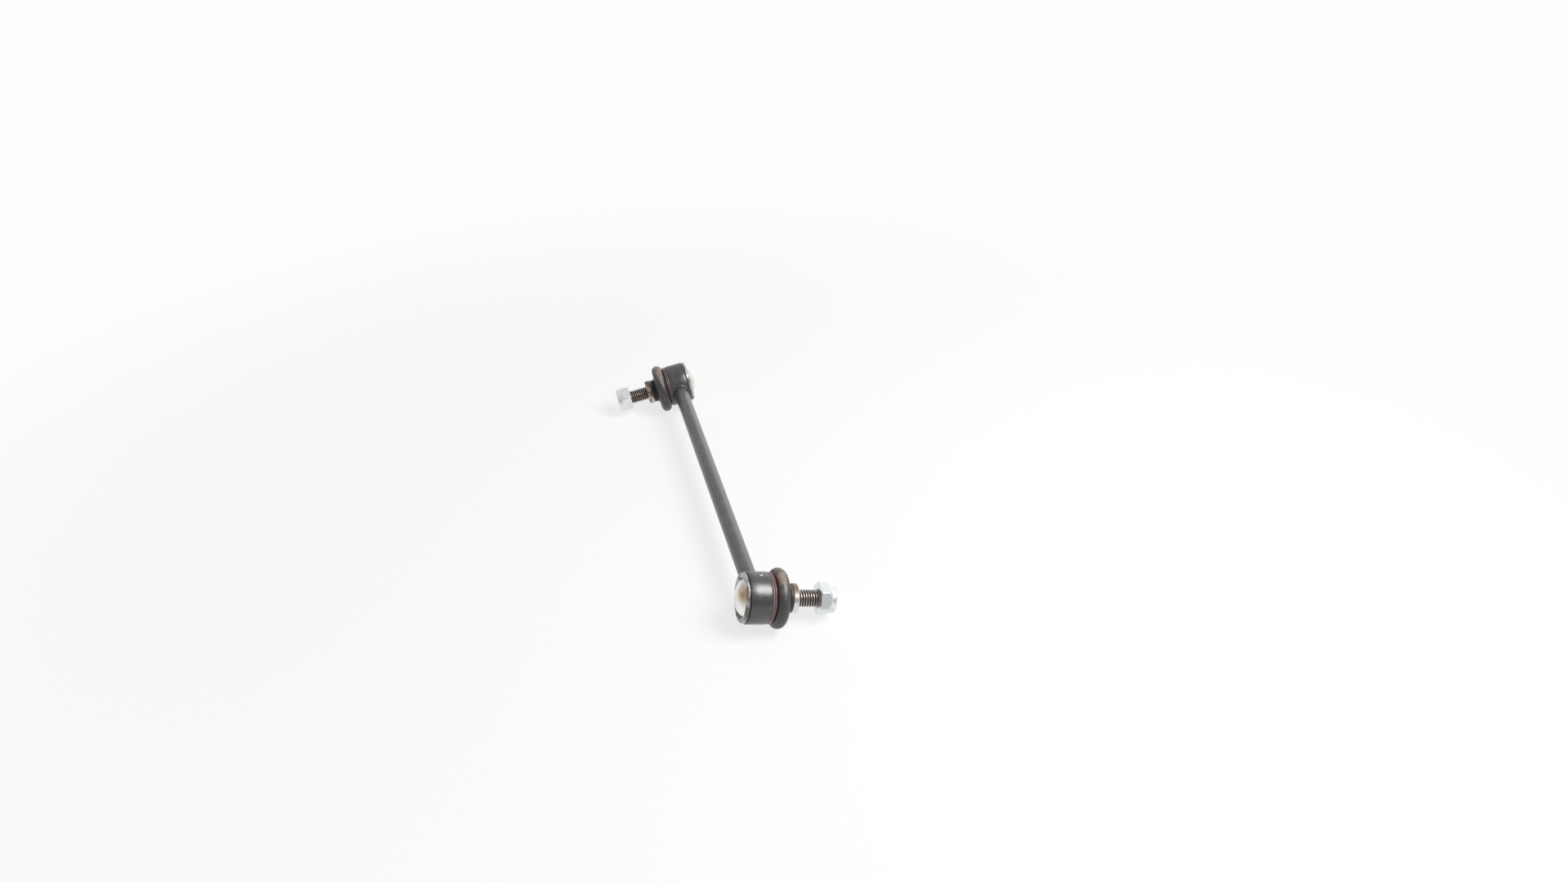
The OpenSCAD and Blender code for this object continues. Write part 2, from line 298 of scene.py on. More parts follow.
RAGGED_POINTS = 10
LIP_START, LIP_REACH = -0.0069, 0.0012
NOTCH_START, NOTCH_RADIUS, NOTCH_REACH, NOTCH_DEGREES = -0.0074, 0.0124, 0.0014, 6
for end, seed, notches in (("bar", 3, (124, 2, -18)), ("strut", 8, (-140, -60, 70, 165))):
    rolled = arc(12.83, -7.5, 1.67, 178, 352, 15)
    fine_groove = [(14.5, -7.05), (14.12, -6.96), (14.06, -6.85), (14.06, -6.62), (14.15, -6.52)]
    band = [(14.78, -6.5), (14.93, -6.44), (HOUSING_RADIUS, -6.3), (HOUSING_RADIUS, -2),
            (HOUSING_RADIUS, 2), (HOUSING_RADIUS, 5.4), (14.94, 5.6), (14.8, 5.7)]
    groove = [(12.1, 5.7), (12.1, 8.9), (12.58, 8.9), (12.7, 9.0), (12.7, 9.7), (12.6, 9.8)]
    bore = [(9.4, 9.8), (7.4, 4.85), (10.76, 4.85), (10.76, -6.25), (12.71, -6.25), (12.71, -7.5)]

    def crimp(k, turn, r, s, seed=seed):
        if k < RAGGED_POINTS:
            fade = (1 - k / RAGGED_POINTS) ** 0.8
            ragged = (0.30 * uneven(turn, seed) + 0.22 * uneven(5 * turn, seed + 1)
                      + 0.10 * uneven(17 * turn, seed + 4, 5))
            r += fade * ragged
            s -= 0.12 * fade * uneven(turn * 3, seed + 2) * (1 if k > 1 else 0.4)
        return r, s

    points, faces = turned(rolled + fine_groove + band + groove + bore, 240, crimp)
    housing = add_piece(f"{end}_housing_body", points, faces, housing_coat, joint_place(end), 40)
    back = joint_place(end).inverted()

    def on_lip(co, normal):
        return min(max((LIP_START - (back @ co).z) / LIP_REACH, 0), 1)

    def notched(co, normal):
        x, y, z = back @ co
        if z >= NOTCH_START:
            return 0
        turn = math.degrees(math.atan2(y, x))
        beside = min(abs((turn - n + 180) % 360 - 180) for n in notches)
        past = max(0, math.hypot(x, y) - NOTCH_RADIUS)
        return max(0, 1 - beside / NOTCH_DEGREES) * max(0, 1 - past / NOTCH_REACH)

    mark(housing, "lip", on_lip)
    mark(housing, "notch_shade", notched)
    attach(housing, "link")
    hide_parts(f"{end}_housing")


# Weld beads: a narrow ring of fused steel where the rod's end meets the housing, rippled
# along its run and dipped black with everything else. In front it is thinner, because the
# housing's band ends there close to the rod.
weld_coat, tree, place = surface("weld_coat")
colour, rough, height, bare = worn_coat(
    tree, place, colour=(0.016, 0.015, 0.015), grime=(0.085, 0.058, 0.040), chips=1.0)
finish(weld_coat, colour, sums(tree, "SUBTRACT", rough, 0.14), height, bump=0.45,
       Metallic=bare, Specular_IOR_Level=1.0)
RIPPLES = 26
WELD_RADIUS, WELD_WIDTH, WELD_RISE, WELD_LIFT = 5.55, 0.62, 0.55, 0.12
for end, seed in (("bar", 21), ("strut", 34)):
    around, across = 180, 16
    points, faces = [], []
    for i in range(around):
        turn = 2 * math.pi * i / around
        ripple = math.sin(turn * RIPPLES + 2 * uneven(turn, seed + 1))
        swell = 1 + 0.16 * uneven(4 * turn, seed) + 0.10 * ripple
        thin = max(0, math.sin(turn)) ** 2
        for k in range(across):
            fall = 2 * math.pi * k / across
            width = (WELD_WIDTH - 0.36 * thin) * swell
            r = WELD_RADIUS - 0.2 * thin + width * math.cos(fall)
            side = r * math.cos(turn)
            ground = math.sqrt(HOUSING_RADIUS ** 2 - side ** 2)
            out = ground + WELD_LIFT + WELD_RISE * swell * math.sin(fall)
            points.append((side / 1000, out / 1000, r * math.sin(turn) / 1000))
    for i in range(around):
        j = (i + 1) % around
        for k in range(across):
            m = (k + 1) % across
            faces.append((i * across + k, j * across + k, j * across + m, i * across + m))
    bead = add_piece(f"{end}_weld_ring", points, faces, weld_coat, joint_place(end), 80)
    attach(bead, "link")
    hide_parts(f"{end}_weld_bead")


# End caps: pressed steel discs with a shallow dome, bright zinc, with a brown-yellow crescent
# of painted reflection on one side of the dome. They lie behind the ball seat and the lip is
# rolled over them.
# Brown of the crescent of painted reflection on the domes.
REFLECTION_BROWN = (0.42, 0.305, 0.17)


def passivated(name, bright, dull):
    material, tree, place = surface(name)
    clouds = noise(tree, place, 90, 4)
    grain = noise(tree, place, 1700, 4)
    # The crescent of painted reflection, from the mark set on each dome.
    painted_reflection = sums(tree, "MULTIPLY", read_mark(tree, "painted_reflection"), spread(tree, clouds, 0.25, 0.55))
    zinc = tint(tree, spread(tree, clouds, 0.4, 0.7), bright, dull)
    satin = spread(tree, clouds, 0.3, 0.7, to_low=0.20, to_high=0.32)
    rough = sums(tree, "ADD", satin, sums(tree, "MULTIPLY", grain, 0.08))
    return finish(material, tint(tree, painted_reflection, zinc, REFLECTION_BROWN), rough, grain, bump=0.05, Metallic=1.0)


DOME_EDGE, DOME_RISE, DOME_TOP, CAP_SHEET = 10.96, 5.0, -12.45, 1.2
# Size and place of the crescent of painted reflection.
REFLECTION_RADIUS, REFLECTION_WIDTH, REFLECTION_TURN, REFLECTION_LENGTH = 0.0082, 0.0038, 0.6, 0.95
# The strut end's cap has darker zinc colours than the bar end's: painted shade.
for end, bright, dull in (("bar", (0.83, 0.83, 0.80), (0.72, 0.71, 0.66)),
                          ("strut", (0.76, 0.75, 0.71), (0.65, 0.63, 0.58))):
    cap_zinc = passivated(f"{end}_cap_zinc", bright, dull)
    dome_r = (DOME_EDGE ** 2 + DOME_RISE ** 2) / (2 * DOME_RISE)
    centre = DOME_TOP + dome_r
    reach = math.degrees(math.asin(DOME_EDGE / dome_r))
    outside = from_axis(arc(0, centre, dome_r, -90, -90 + reach, 28))
    rim = [(12.5, -7.45), (12.62, -7.35), (12.62, -6.35), (12.5, -6.28)]
    inside = from_axis(arc(0, centre, dome_r - CAP_SHEET, -90 + reach * 0.92, -90, 14))
    points, faces = turned(outside + rim + inside, 128)
    cap = add_piece(f"{end}_pressed_cap", points, faces, cap_zinc, joint_place(end), 40)
    back = joint_place(end).inverted()

    # Where the brown reflection is painted: a crescent near the edge on one side of the dome.
    def reflection_crescent(co, normal):
        x, y, z = back @ co
        off = (math.hypot(x, y) - REFLECTION_RADIUS) / REFLECTION_WIDTH
        past = (math.atan2(-y, -x) - REFLECTION_TURN) / REFLECTION_LENGTH
        return max(0, 1.25 - math.hypot(off, past))

    mark(cap, "painted_reflection", reflection_crescent)
    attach(cap, "link")
    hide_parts(f"{end}_end_cap")


# Ball seats: moulded acetal cups in the bore around the ball, natural white, with shallow
# grease grooves in the hollow. Nothing of them shows on a whole joint.
def moulded(name, colour, dark, rough):
    material, tree, place = surface(name)
    clouds = noise(tree, place, 260, 3)
    satin = spread(tree, clouds, 0.3, 0.7, to_low=rough - 0.06, to_high=rough + 0.06)
    grain = noise(tree, place, 1600, 2)
    return finish(material, tint(tree, clouds, colour, dark), satin, grain, bump=0.03)


GREASE_GROOVES, GROOVE_DEPTH = 6, 0.03
seat_plastic = moulded("seat_plastic", (0.80, 0.79, 0.74), (0.70, 0.68, 0.60), 0.38)
for end in ("bar", "strut"):
    bottom = from_axis(arc(0, 0, 9.03, -90, -43.4, 14))
    wall = [(10.4, -6.2), (10.68, -5.92), (10.68, 4.5), (10.4, 4.79),
            (7.45, 4.79), (7.27, 4.7), (7.0, 4.1)]
    hollow = from_axis(arc(0, 0, 8.06, 30.2, -90, 40))

    def grooved(k, turn, r, s, first=len(bottom) + len(wall)):
        if k >= first:
            groove = max(0, math.cos(GREASE_GROOVES * turn)) ** 10
            deep = 1 + GROOVE_DEPTH * groove * min(1, r / 4)
            r, s = r * deep, s * deep
        return r, s

    points, faces = turned(bottom + wall + hollow, 144, grooved)
    cup = add_piece(f"{end}_seat_cup", points, faces, seat_plastic, joint_place(end), 40)
    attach(cup, f"{end}_seat")
    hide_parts(f"{end}_ball_seat")


# Ball studs: cold-forged steel in one piece, with a ground ball, a neck, a round collar
# that seats on the bracket and a rolled M10 thread with a hexagon socket in its tip.
def forged_steel(name, bright, brown, much):
    material, tree, place = surface(name)
    clouds = noise(tree, place, 170, 4)
    grain = noise(tree, place, 2200, 3)
    patches = spread(tree, clouds, 0.62 - much * 0.25, 0.75 - much * 0.2)
    on_top = sums(tree, "MULTIPLY", read_mark(tree, "upper"), spread(tree, clouds, 0.2, 0.5))
    rusty = sums(tree, "MAXIMUM", patches, on_top)
    metal = sums(tree, "SUBTRACT", 1.0, sums(tree, "MULTIPLY", rusty, 0.6))
    dull = sums(tree, "ADD", sums(tree, "MULTIPLY", rusty, 0.25), sums(tree, "MULTIPLY", grain, 0.1))
    rough = sums(tree, "ADD", 0.22, dull)
    return finish(material, tint(tree, rusty, bright, brown), rough, grain, bump=0.08, Metallic=metal)


def rolled_steel(name, root, brown, crest_steel_and_highlight):
    material, tree, place = surface(name)
    clouds = noise(tree, place, 300, 4)
    grain = noise(tree, place, 2600, 3)
    patches = spread(tree, clouds, 0.2, 0.62, to_low=1.0, to_high=0.55)
    crest = sums(tree, "MULTIPLY", read_mark(tree, "crest"), patches)
    rusty = tint(tree, spread(tree, clouds, 0.4, 0.65), root, brown)
    metal = spread(tree, crest, 0.1, 0.7, to_low=0.35, to_high=1.0)
    rough = spread(tree, crest, 0.0, 0.8, to_low=0.55, to_high=0.28)
    # Crests are painted bright: partly bare steel, partly painted highlight.
    colour = tint(tree, crest, rusty, crest_steel_and_highlight)
    return finish(material, colour, rough, grain, bump=0.08, Metallic=metal)


def thread_tree():
    tree = bpy.data.node_groups.new("rolled_thread", "GeometryNodeTree")
    sockets(tree, "INPUT", Length="Float", Radius="Float", Pitch="Float", Depth="Float",
            Lead="Float", Around="Int", Along="Int", Steel="Material")
    sockets(tree, "OUTPUT", Mesh="Geometry")
    given = tree.nodes.new("NodeGroupInput")
    gives = tree.nodes.new("NodeGroupOutput")
    blank = tree.nodes.new("GeometryNodeMeshCylinder")
    blank.fill_type = "NGON"
    for label, socket in (("Around", "Vertices"), ("Along", "Side Segments"),
                          ("Radius", "Radius"), ("Length", "Depth")):
        wire(tree, given.outputs[label], blank.inputs[socket])
    point = tree.nodes.new("GeometryNodeInputPosition")
    parts = tree.nodes.new("ShaderNodeSeparateXYZ")
    wire(tree, point.outputs[0], parts.inputs[0])
    angle = sums(tree, "ARCTAN2", parts.outputs["Y"], parts.outputs["X"])
    turn = sums(tree, "MULTIPLY", angle, 0.5 / math.pi)
    pitches = sums(tree, "DIVIDE", parts.outputs["Z"], given.outputs["Pitch"])
    phase = sums(tree, "FRACT", sums(tree, "SUBTRACT", pitches, turn))
    flank = sums(tree, "MULTIPLY", sums(tree, "ABSOLUTE", sums(tree, "SUBTRACT", phase, 0.5)), 2)
    crest = spread(tree, flank, 0.12, 0.88)
    cut = sums(tree, "MULTIPLY", sums(tree, "SUBTRACT", 1, crest), given.outputs["Depth"])
    threaded = sums(tree, "SUBTRACT", given.outputs["Radius"], cut)
    half = sums(tree, "MULTIPLY", given.outputs["Length"], 0.5)
    left = sums(tree, "SUBTRACT", half, parts.outputs["Z"])
    short = sums(tree, "MAXIMUM", sums(tree, "SUBTRACT", given.outputs["Lead"], left), 0)
    chamfer = sums(tree, "SUBTRACT", given.outputs["Radius"], sums(tree, "MULTIPLY", short, 0.9))
    radius = sums(tree, "MINIMUM", threaded, chamfer)
    flat = tree.nodes.new("ShaderNodeCombineXYZ")
    wire(tree, parts.outputs["X"], flat.inputs["X"])
    wire(tree, parts.outputs["Y"], flat.inputs["Y"])
    unit = tree.nodes.new("ShaderNodeVectorMath")
    unit.operation = "NORMALIZE"
    wire(tree, flat.outputs[0], unit.inputs[0])
    ring = tree.nodes.new("ShaderNodeVectorMath")
    ring.operation = "SCALE"
    wire(tree, unit.outputs[0], ring.inputs[0])
    wire(tree, radius, ring.inputs["Scale"])
    lift = tree.nodes.new("ShaderNodeCombineXYZ")
    wire(tree, parts.outputs["Z"], lift.inputs["Z"])
    moved = tree.nodes.new("ShaderNodeVectorMath")
    wire(tree, ring.outputs[0], moved.inputs[0])
    wire(tree, lift.outputs[0], moved.inputs[1])
    keep = tree.nodes.new("GeometryNodeStoreNamedAttribute")
    keep.data_type = "FLOAT"
    keep.domain = "POINT"
    keep.inputs["Name"].default_value = "crest"
    wire(tree, blank.outputs["Mesh"], keep.inputs["Geometry"])
    wire(tree, spread(tree, crest, 0.35, 0.8), keep.inputs["Value"])
    put = tree.nodes.new("GeometryNodeSetPosition")
    wire(tree, keep.outputs[0], put.inputs["Geometry"])
    wire(tree, moved.outputs[0], put.inputs["Position"])
    whole = tree.nodes.new("GeometryNodeRealizeInstances")
    wire(tree, put.outputs[0], whole.inputs[0])
    skin = tree.nodes.new("GeometryNodeSetMaterial")
    wire(tree, whole.outputs[0], skin.inputs["Geometry"])
    wire(tree, given.outputs["Steel"], skin.inputs["Material"])
    wire(tree, skin.outputs[0], gives.inputs["Mesh"])
    return tree


def grown(name, tree, values, place):
    """One piece from a geometry tree, made a plain mesh and put in its place."""
    blank = bpy.data.meshes.new(name + "_blank")
    piece = bpy.data.objects.new(name, blank)
    bpy.context.scene.collection.objects.link(piece)
    grow = piece.modifiers.new("grow", "NODES")
    grow.node_group = tree
    for item in tree.interface.items_tree:
        if item.item_type == "SOCKET" and item.in_out == "INPUT":
            grow[item.identifier] = values[item.name]
    bpy.context.view_layer.update()
    depsgraph = bpy.context.evaluated_depsgraph_get()
    mesh = bpy.data.meshes.new_from_object(piece.evaluated_get(depsgraph))
    piece.modifiers.remove(grow)
    piece.data = mesh
    bpy.data.meshes.remove(blank)
    mesh.name = name
    mesh.transform(place)
    mesh.polygons.foreach_set("use_smooth", [True] * len(mesh.polygons))
    mesh.set_sharp_from_angle(angle=math.radians(50))
    return piece


def socket_cut(piece, place, across, depth):
    """A hexagon socket sunk into a piece at the given place."""
    tool_mesh = bpy.data.meshes.new("socket_tool")
    prism = bmesh.new()
    corner = across / math.sqrt(3)
    bmesh.ops.create_cone(
        prism, cap_ends=True, segments=6, radius1=corner, radius2=corner, depth=2 * depth)
    prism.to_mesh(tool_mesh)
    prism.free()
    tool_mesh.transform(place)
    tool = bpy.data.objects.new("socket_tool", tool_mesh)
    bpy.context.scene.collection.objects.link(tool)
    bite = piece.modifiers.new("socket", "BOOLEAN")
    bite.object = tool
    bite.solver = "EXACT"
    bpy.context.view_layer.update()
    depsgraph = bpy.context.evaluated_depsgraph_get()
    cut = bpy.data.meshes.new_from_object(piece.evaluated_get(depsgraph))
    piece.modifiers.remove(bite)
    whole = piece.data
    piece.data = cut
    bpy.data.meshes.remove(whole)
    bpy.data.objects.remove(tool)
    bpy.data.meshes.remove(tool_mesh)


COLLAR_FACE, STUD_TIP, THREAD_PITCH, OVERLAP = 24.1, 44.1, 1.5, 0.1
BALL_RADIUS, NECK_RADIUS, COLLAR_RADIUS = 8.0, 4.6, 8.5
SOCKET_ACROSS, SOCKET_DEPTH = 0.005, 0.005
THREAD_ROOT, THREAD_BROWN = (0.022, 0.018, 0.016), (0.10, 0.060, 0.040)
rolled_thread = thread_tree()
# The last colour of each end is the bright crest colour, partly painted highlight.
for end, bright, brown, much, crest_steel_and_highlight in (
        ("bar", (0.70, 0.68, 0.65), (0.19, 0.14, 0.105), 0.2, (0.72, 0.67, 0.62)),
        ("strut", (0.52, 0.46, 0.40), (0.11, 0.070, 0.048), 0.75, (0.50, 0.44, 0.38))):
    steel = forged_steel(f"{end}_forged_steel", bright, brown, much)
    ball = arc(0, 0, BALL_RADIUS, -90, math.degrees(math.acos(NECK_RADIUS / BALL_RADIUS)), 34)
    stem = [(NECK_RADIUS, 7.2), (NECK_RADIUS, 11.9), (4.7, 12.2), (5.9, 15.7),
            (6.0, 16.0), (6.0, 20.3), (6.1, 20.4)]
    collar = [(8.25, 20.4), (8.42, 20.47), (COLLAR_RADIUS, 20.65), (COLLAR_RADIUS, 21.4),
              (COLLAR_RADIUS, 22.2), (COLLAR_RADIUS, 22.9)]
    face = [(6.2, COLLAR_FACE), (5.05, COLLAR_FACE), (4.2, 24.0), (0, 24.0)]
    profile = ball + stem + collar + arc(7.3, 22.9, 1.2, 8, 90, 9) + face
    points, faces = turned(from_axis(profile), 128)
    shank = add_piece(f"{end}_stud_ball_and_collar", points, faces, steel, joint_place(end), 40)
    mark(shank, "upper", lambda co, normal: min(max((normal.z - 0.45) / 0.4, 0), 1))
    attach(shank, f"{end}_stud")
    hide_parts(f"{end}_ball_stud")

    steel = rolled_steel(f"{end}_thread_steel", THREAD_ROOT, THREAD_BROWN, crest_steel_and_highlight)
    sizes = {"Length": (STUD_TIP - COLLAR_FACE + OVERLAP) / 1000, "Radius": 0.005,
             "Pitch": THREAD_PITCH / 1000, "Depth": 0.00090, "Lead": 0.0013,
             "Around": 96, "Along": 256, "Steel": steel}
    middle = Matrix.Translation((0, 0, (STUD_TIP + COLLAR_FACE - OVERLAP) / 2000))
    thread = grown(f"{end}_stud_thread", rolled_thread, sizes, joint_place(end) @ middle)
    tip = Matrix.Translation((0, 0, STUD_TIP / 1000))
    socket_cut(thread, joint_place(end) @ tip, SOCKET_ACROSS, SOCKET_DEPTH)
    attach(thread, f"{end}_stud")
    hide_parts(f"{end}_ball_stud")


# Dust boots: moulded black rubber filled with grease. The wide lip sits in the housing's
# groove, one fat bead takes up the swing, and the waisted neck grips the stud's land.
BLACK_RUBBER = (0.031, 0.030, 0.031)
ROAD_DUST, DUST_CRUMBS = (0.255, 0.200, 0.160), (0.34, 0.29, 0.25)
boot_rubber, tree, place = surface("boot_rubber")
clouds = noise(tree, place, 170, 5)
grain = noise(tree, place, 1500, 4)
patches = spread(tree, clouds, 0.32, 0.62, to_low=0.15, to_high=1.0)
film = sums(tree, "MULTIPLY", read_mark(tree, "dust"), patches)
crumbs = spread(tree, noise(tree, place, 700, 1), 0.74, 0.78)
colour = tint(tree, film, BLACK_RUBBER, ROAD_DUST)
colour = tint(tree, crumbs, colour, DUST_CRUMBS)
rough = spread(tree, clouds, 0.3, 0.7, to_low=0.36, to_high=0.52)
finish(boot_rubber, colour, rough, grain, bump=0.12, depth=0.0003, Specular_IOR_Level=0.7)
BEAD_CENTRE, BEAD_RADIUS, BEAD_HOLLOW = (13.7, 12.7), 3.8, 2.3
SAG_FIRST, SAG_LAST = 12, 40
DUST_PALE_FROM, BEND_START, BEND_END = 0.0168, 0.0118, 0.0172
for end, seed in (("bar", 51), ("strut", 62)):
    lip = [(12.17, 5.95), (12.3, 5.83), (13.1, 5.83), (13.28, 6.0), (13.28, 8.3),
           (13.4, 8.8), (13.8, 8.95)]
    bead = arc(*BEAD_CENTRE, BEAD_RADIUS, -82, 96, 40)
    shoulder = [(12.4, 16.42), (11.2, 16.47), (10.2, 16.55), (9.4, 16.72), (8.8, 16.98), (8.35, 17.35)]
    waist = [(7.95, 17.75), (7.68, 18.0), (7.55, 18.25), (7.58, 18.5), (7.8, 18.85)]
    mouth = [(8.12, 19.15), (8.27, 19.4), (8.3, 19.9), (8.2, 20.13), (8.0, 20.2)]
    land = [(6.3, 20.2), (6.08, 20.05), (6.08, 17.3), (6.8, 16.3), (7.8, 15.6),
            (9.7, 15.2), (12.0, 15.05)]
    hollow = arc(*BEAD_CENTRE, BEAD_HOLLOW, 92, -70, 18)
    foot = [(13.0, 10.2), (12.78, 9.9), (12.78, 8.88), (12.17, 8.82)]

    def sag(k, turn, r, s, seed=seed):
        if SAG_FIRST < k < SAG_LAST:
            along = (k - SAG_FIRST) / (SAG_LAST - SAG_FIRST)
            r += 0.10 * math.sin(math.pi * along) * (uneven(turn, seed, 5) - 0.9)
        return r, s

    profile = lip + bead + shoulder + waist + mouth + land + hollow + foot
    points, faces = turned(profile, 160, sag)
    boot = add_piece(f"{end}_boot_rubber", points, faces, boot_rubber, joint_place(end), 50)
    at = joint_place(end)
    back = at.inverted()

    def dusty(co, normal):
        upward = min(max((normal.z - 0.62) / 0.33, 0), 1)
        return upward * (0.4 if (back @ co).z > DUST_PALE_FROM else 1) + 0.03

    mark(boot, "dust", dusty)
    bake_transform(boot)
    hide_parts(f"{end}_dust_boot")


# Boot clamps: round spring wire wound twice around the boot's wide lip. The turn beside the
# housing is rubbed to dark steel, the other keeps its red primer.
CROSSING = (0.46, 0.54)
DARK_WIRE = (0.17, 0.125, 0.108)


def winding_tree():
    tree = bpy.data.node_groups.new("wound_wire", "GeometryNodeTree")
    sockets(tree, "INPUT", Radius="Float", Turns="Float", Rise="Float", Wire="Float", Primer="Material")
    sockets(tree, "OUTPUT", Mesh="Geometry")
    given = tree.nodes.new("NodeGroupInput")
    gives = tree.nodes.new("NodeGroupOutput")
    run = tree.nodes.new("GeometryNodeCurveSpiral")
    run.inputs["Resolution"].default_value = 120
    run.inputs["Height"].default_value = 0
    for label, socket in (("Turns", "Rotations"), ("Radius", "Start Radius"),
                          ("Radius", "End Radius")):
        wire(tree, given.outputs[label], run.inputs[socket])
    along = tree.nodes.new("GeometryNodeSplineParameter")
    lift = tree.nodes.new("ShaderNodeCombineXYZ")
    crossing = spread(tree, along.outputs["Factor"], *CROSSING)
    wire(tree, sums(tree, "MULTIPLY", crossing, given.outputs["Rise"]), lift.inputs["Z"])
    step = tree.nodes.new("GeometryNodeSetPosition")
    wire(tree, run.outputs[0], step.inputs["Geometry"])
    wire(tree, lift.outputs[0], step.inputs["Offset"])
    keep = tree.nodes.new("GeometryNodeStoreNamedAttribute")
    keep.data_type = "FLOAT"
    keep.domain = "POINT"
    keep.inputs["Name"].default_value = "along"
    wire(tree, step.outputs[0], keep.inputs["Geometry"])
    wire(tree, along.outputs["Factor"], keep.inputs["Value"])
    section = tree.nodes.new("GeometryNodeCurvePrimitiveCircle")
    section.inputs["Resolution"].default_value = 14
    wire(tree, given.outputs["Wire"], section.inputs["Radius"])
    body = tree.nodes.new("GeometryNodeCurveToMesh")
    body.inputs["Fill Caps"].default_value = True
    wire(tree, keep.outputs[0], body.inputs["Curve"])
    wire(tree, section.outputs[0], body.inputs["Profile Curve"])
    whole = tree.nodes.new("GeometryNodeRealizeInstances")
    wire(tree, body.outputs[0], whole.inputs[0])
    skin = tree.nodes.new("GeometryNodeSetMaterial")
    wire(tree, whole.outputs[0], skin.inputs["Geometry"])
    wire(tree, given.outputs["Primer"], skin.inputs["Material"])
    wire(tree, skin.outputs[0], gives.inputs["Mesh"])
    return tree


def primed_wire(name, rubbed, primer):
    material, tree, place = surface(name)
    clouds = noise(tree, place, 190, 4)
    red_turn = spread(tree, read_mark(tree, "along"), *CROSSING)
    red = sums(tree, "MULTIPLY", red_turn, spread(tree, clouds, 0.72, 0.46))
    colour = tint(tree, red, tint(tree, clouds, rubbed, DARK_WIRE), primer)
    rough = spread(tree, clouds, 0.3, 0.7, to_low=0.24, to_high=0.42)
    grain = noise(tree, place, 1500, 3)
    return finish(material, colour, rough, grain, bump=0.08, Specular_IOR_Level=0.6)


FIRST_TURN = Matrix.Translation((0, 0, 0.00655))
winding = winding_tree()
for end, rubbed, primer in (("bar", (0.15, 0.13, 0.125), (0.185, 0.066, 0.064)),
                            ("strut", (0.055, 0.045, 0.043), (0.125, 0.058, 0.055))):
    clamp_primer = primed_wire(f"{end}_clamp_primer", rubbed, primer)
    sizes = {"Radius": 0.0141, "Turns": 1.88, "Rise": 0.00135, "Wire": 0.00074,
             "Primer": clamp_primer}
    coil = grown(f"{end}_clamp_wire", winding, sizes, joint_place(end) @ FIRST_TURN)
    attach(coil, "link")
    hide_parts(f"{end}_boot_clamp")


# Neck rings: thin black spring wire that keeps the boot's waist tight on the stud.
# They lie in the waist, so only a narrow line of each is seen.
ring_coat, tree, place = surface("ring_coat")
colour, rough, height, bare = worn_coat(
    tree, place, colour=(0.018, 0.018, 0.018), grime=(0.07, 0.06, 0.055), chips=0.6)
finish(ring_coat, colour, rough, height, bump=0.1, Metallic=bare)
for end in ("bar", "strut"):
    dress(f"{end}_neck_ring", ring_coat)


# Lock nuts: 17 mm hexagon nuts, bright zinc, with a round crown turned over a nylon ring.
# They are only run on by hand for packing, so the thread's end stops at the nylon.
BRIGHT_ZINC, DULL_ZINC = (0.795, 0.83, 0.835), (0.73, 0.74, 0.72)
nut_zinc, tree, place = surface("nut_zinc")
clouds = noise(tree, place, 120, 4)
grain = noise(tree, place, 1900, 4)
colour = tint(tree, spread(tree, clouds, 0.42, 0.68), BRIGHT_ZINC, DULL_ZINC)
satin = spread(tree, clouds, 0.3, 0.7, to_low=0.28, to_high=0.38)
rough = sums(tree, "ADD", satin, sums(tree, "MULTIPLY", grain, 0.08))
finish(nut_zinc, colour, rough, grain, bump=0.06, Metallic=1.0)
NUT_FACE, NUT_FLATS, CORNER_RADIUS, CROWN_RADIUS = 36.7, 17.0, 9.95, 8.35
HEX_SHARP, CHAMFER_SHARP = 110, 60
for end, phase in (("bar", 35), ("strut", 58)):
    side = [(7.9, 0.0), (8.7, 0.03), (9.25, 0.12), (9.55, 0.28), (9.75, 0.5), (9.9, 0.8),
            (CORNER_RADIUS, 1.2), (CORNER_RADIUS, 2.4), (CORNER_RADIUS, 3.6), (CORNER_RADIUS, 4.2)]
    side += [(CORNER_RADIUS - 1.6 * t ** 1.25, 4.2 + 2.75 * t) for t in np.linspace(0.08, 1, 16)]
    crown = [(CROWN_RADIUS, 7.4), (CROWN_RADIUS, 8.0), (CROWN_RADIUS, 8.55)]
    crown += arc(7.05, 8.7, 1.28, 8, 90, 8)
    bore = [(6.4, 10.0), (6.15, 9.93), (6.06, 9.75), (6.06, 9.3), (6.7, 9.3), (6.7, 7.2),
            (5.06, 7.2), (5.06, 0.3), (5.3, 0.0)]

    def hexagon(k, turn, r, s, phase=math.radians(phase), last=len(side) + 3):
        if k < last:
            facing = [math.cos(turn - phase - math.radians(30 + 60 * i)) for i in range(6)]
            flat = sum(max(f, 0) ** HEX_SHARP for f in facing) ** (-1 / HEX_SHARP)
            flats = NUT_FLATS / 2 * flat
            r = (r ** -CHAMFER_SHARP + flats ** -CHAMFER_SHARP) ** (-1 / CHAMFER_SHARP)
        return r, s

    points, faces = turned(side + crown + bore, 360, hexagon)
    face = Matrix.Translation((0, 0, NUT_FACE / 1000))
    nut = add_piece(f"{end}_hexagon_nut", points, faces, nut_zinc, joint_place(end) @ face, 60)
    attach(nut, f"{end}_nut")
    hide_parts(f"{end}_lock_nut")


# Nut inserts: rings of natural nylon held under the crown, which bite on the thread.
# They show only from the outer end, as a pale ring around the stud's tip.
nylon = moulded("nylon", (0.74, 0.75, 0.72), (0.62, 0.63, 0.58), 0.42)
for end in ("bar", "strut"):
    dress(f"{end}_nut_insert", nylon)


